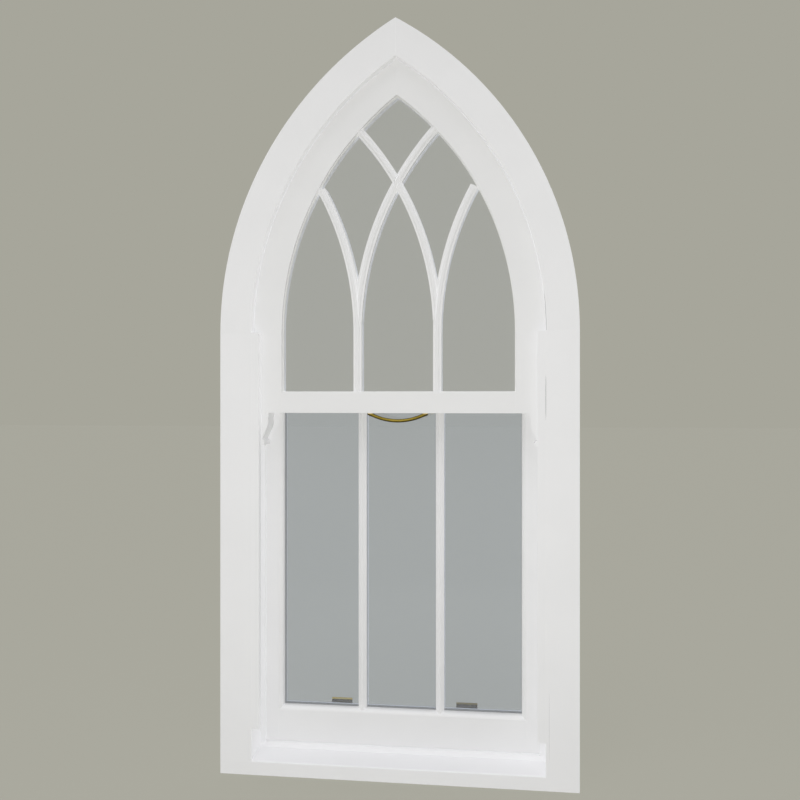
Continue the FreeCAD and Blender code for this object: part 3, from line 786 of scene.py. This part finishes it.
class WINDOW_OT_polish_brass(bpy.types.Operator):
    """Fit the bow handle and the sash lifts' screws, and polish all the brass"""
    bl_idname = "window.polish_brass"
    bl_label = "Polish brass"

    def execute(self, context):
        fittings = context.scene.brass_fittings
        self.fit_handle(fittings)
        # The left lift's rim gets a strong painted highlight and the right lift's a weak one, a
        # painted shade on the right lift
        self.fit_lift(fittings, "left", rim_polish_and_light=1.3, turns=(0.5, 2.1))
        self.fit_lift(fittings, "right", rim_polish_and_light=0.325, turns=(1.2, 0.2))
        return {"FINISHED"}

    def fit_handle(self, fittings):
        """Puts the bow and its two round feet in the place of the plain handle."""
        low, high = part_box("bow_handle")
        thickness = fittings.rose_thickness
        radius = (high.y - low.y) / 2
        bow, wear_and_reflection = bow_surface(low, high, fittings.rod_size / 2, thickness)
        rods = brass_material("handle_brass_painted_reflection", fittings, stored_wear_and_reflection)
        dress("bow_handle", rods)
        end_wear_and_reflection = np.zeros(2)
        handle = closed_surface("cast_bow_handle", [bow], rods,
                                wear_and_reflection=np.concatenate([wear_and_reflection.ravel(), end_wear_and_reflection]))
        roses = [foot_surface(x, (low.y + high.y) / 2, high.z, radius, thickness)
                 for x in (low.x + radius, high.x - radius)]
        feet = closed_surface("handle_roses", roses, rose_highlight_material(fittings))
        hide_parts("bow_handle")
        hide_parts("bow_handle")

    def fit_lift(self, fittings, side, rim_polish_and_light, turns):
        """Dresses a sash lift, its rim made bright by as much as its polish share says, partly wear
        and partly a painted highlight, and fits its two screws, with their slots turned by the
        angles turns."""
        lift = "sash_lift_" + side
        low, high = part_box(lift)
        brass = brass_material(side + "_lift_brass", fittings, rim_wear_and_light(high.z, rim_polish_and_light))
        ease_edges(dress(lift, brass), fittings.lift_easing)
        middle = (low.x + high.x) / 2
        width = high.x - low.x
        outwards, up = width * 0.3, width * 0.2
        heads = [screw_surface(middle + sense * outwards, low.y + fittings.lift_plate, low.z + up,
                               fittings.screw_radius, fittings.screw_slot, turn)
                 for sense, turn in zip((-1, 1), turns)]
        closed_surface("lift_screws_" + side, heads, brass)


# Stage


def sun_lamp(name, side, height, level, softness, shadow):
    """Even light from one direction: side is degrees right of straight in front, height is
    degrees up, and level is the share that it adds to a white surface facing it."""
    data = bpy.data.lights.new(name, "SUN")
    data.energy = level * math.pi
    data.angle = math.radians(softness)
    data.use_shadow = shadow
    data.cycles.cast_shadow = shadow
    lamp = bpy.data.objects.new(name, data)
    lamp.visible_transmission = False
    lamp.visible_glossy = shadow
    lamp.rotation_euler = (math.radians(90.0 - height), 0.0, math.radians(side))
    bpy.context.scene.collection.objects.link(lamp)


def seen_directly(tree):
    """1 for rays from the camera, from glossy reflection or through glass, else 0."""
    path = tree.nodes.new("ShaderNodeLightPath")
    seen = maths(tree, "MAXIMUM", path.outputs["Is Camera Ray"], path.outputs["Is Glossy Ray"])
    return maths(tree, "MAXIMUM", seen, path.outputs["Is Transmission Ray"])


class WINDOW_OT_set_stage(bpy.types.Operator):
    """Set the floor, backdrop, lamps and camera"""
    bl_idname = "window.set_stage"
    bl_label = "Set stage"

    def execute(self, context):
        stage = context.scene.window_stage
        self.set_world(stage)
        self.lay_floor(stage)
        self.hang_lamps(stage)
        self.place_camera(stage)
        context.scene.view_settings.view_transform = "Standard"
        return {"FINISHED"}

    def set_world(self, stage):
        """Even light from all round. The camera, glass and brass see the backdrop instead."""
        world = bpy.data.worlds.new("plain_studio")
        world.use_nodes = True
        tree = world.node_tree
        tree.nodes.clear()
        output = tree.nodes.new("ShaderNodeOutputWorld")
        light = tree.nodes.new("ShaderNodeBackground")
        light.inputs["Color"].default_value = SKY_COLOUR
        light.inputs["Strength"].default_value = stage.sky_strength
        backdrop = tree.nodes.new("ShaderNodeBackground")
        backdrop.inputs["Color"].default_value = (*stage.backdrop, 1.0)
        show_mix(tree, output, seen_directly(tree), light.outputs["Background"],
                 backdrop.outputs["Background"])
        bpy.context.scene.world = world

    def lay_floor(self, stage):
        """Flat square under the window, as bright as the backdrop, with a faint shadow.

        A share of it glows, and the rest has the colour that looks like the backdrop once the
        sky and the lamps above light it."""
        light = stage.sky_strength + sum(level * math.sin(math.radians(height))
                                         for _, _, height, level, _, _ in LAMPS if height > 0)
        half = stage.floor_size / 2
        corners = np.array([(-half, -half), (half, -half), (half, half), (-half, half)])
        corners = np.column_stack([corners, np.full(len(corners), CAD_LOW.z)])
        mesh = bpy.data.meshes.new("floor")
        mesh.from_pydata(corners.tolist(), [], [(0, 1, 2, 3)])
        floor = bpy.data.objects.new("floor", mesh)
        bpy.context.scene.collection.objects.link(floor)
        material, tree, shader, output = shader_tree("pale_floor")
        shader.inputs["Base Color"].default_value = (*(np.array(stage.backdrop) / light), 1.0)
        shader.inputs["Roughness"].default_value = 1.0
        shader.inputs["Specular IOR Level"].default_value = 0.0
        glow = tree.nodes.new("ShaderNodeEmission")
        glow.inputs["Color"].default_value = (*stage.backdrop, 1.0)
        show_mix(tree, output, maths(tree, "MULTIPLY", seen_directly(tree), FLOOR_GLOW),
                 shader.outputs["BSDF"], glow.outputs["Emission"])
        mesh.materials.append(material)

    def hang_lamps(self, stage):
        """One soft key that casts shadows, and fills all round that cast none. A round lamp in
        front lights the middle of the window a little more than its ends."""
        for name, side, height, level, softness, shadow in LAMPS:
            sun_lamp(name, side, height, level, softness, shadow)
        data = bpy.data.lights.new("front_lamp", "AREA")
        data.shape = "DISK"
        data.size = 0.5
        data.energy = stage.front_level * math.pi ** 2 * stage.front_distance ** 2
        data.use_shadow = False
        data.cycles.cast_shadow = False
        lamp = bpy.data.objects.new("front_lamp", data)
        lamp.visible_camera = False
        lamp.visible_glossy = False
        lamp.visible_transmission = False
        lamp.location = (0.0, CAD_LOW.y - stage.front_distance, CAD_LOW.z + stage.front_height)
        lamp.rotation_euler = (math.radians(90.0), 0.0, 0.0)
        bpy.context.scene.collection.objects.link(lamp)

    def place_camera(self, stage):
        """Level camera at the photo's viewpoint, right of the middle and turned to the left."""
        data = bpy.data.cameras.new("camera")
        data.sensor_width = 36.0
        data.lens = 43.46
        data.shift_y = -0.0019
        camera = bpy.data.objects.new("camera", data)
        camera.location = (stage.camera_side, CAD_LOW.y - stage.camera_distance,
                           CAD_LOW.z + stage.camera_height)
        camera.rotation_euler = (math.radians(90.0), 0.0, stage.camera_turn)
        bpy.context.scene.collection.objects.link(camera)
        bpy.context.scene.camera = camera


# Panel and registration


class WINDOW_PT_finishes(bpy.types.Panel):
    """Lists the window's finishing steps and their values"""
    bl_idname = "WINDOW_PT_finishes"
    bl_label = "Arch Window"
    bl_space_type = "VIEW_3D"
    bl_region_type = "UI"
    bl_category = "Arch Window"

    def draw(self, context):
        for step in STEPS:
            self.layout.operator(step.bl_idname)
        for group in GROUPS:
            box = self.layout.box()
            values = getattr(context.scene, group)
            for name in values.__annotations__:
                box.prop(values, name)


STEPS = (WINDOW_OT_paint_timber, WINDOW_OT_glaze, WINDOW_OT_polish_brass, WINDOW_OT_set_stage)


def register():
    for cls in (*GROUPS.values(), *STEPS, WINDOW_PT_finishes):
        bpy.utils.register_class(cls)
    for name, cls in GROUPS.items():
        setattr(bpy.types.Scene, name, bpy.props.PointerProperty(type=cls))


def unregister():
    for name in GROUPS:
        delattr(bpy.types.Scene, name)
    for cls in (WINDOW_PT_finishes, *reversed(STEPS), *reversed(tuple(GROUPS.values()))):
        bpy.utils.unregister_class(cls)


def main():
    register()
    bpy.ops.window.paint_timber()
    bpy.ops.window.glaze()
    bpy.ops.window.polish_brass()
    bpy.ops.window.set_stage()


if __name__ == "__main__":
    main()
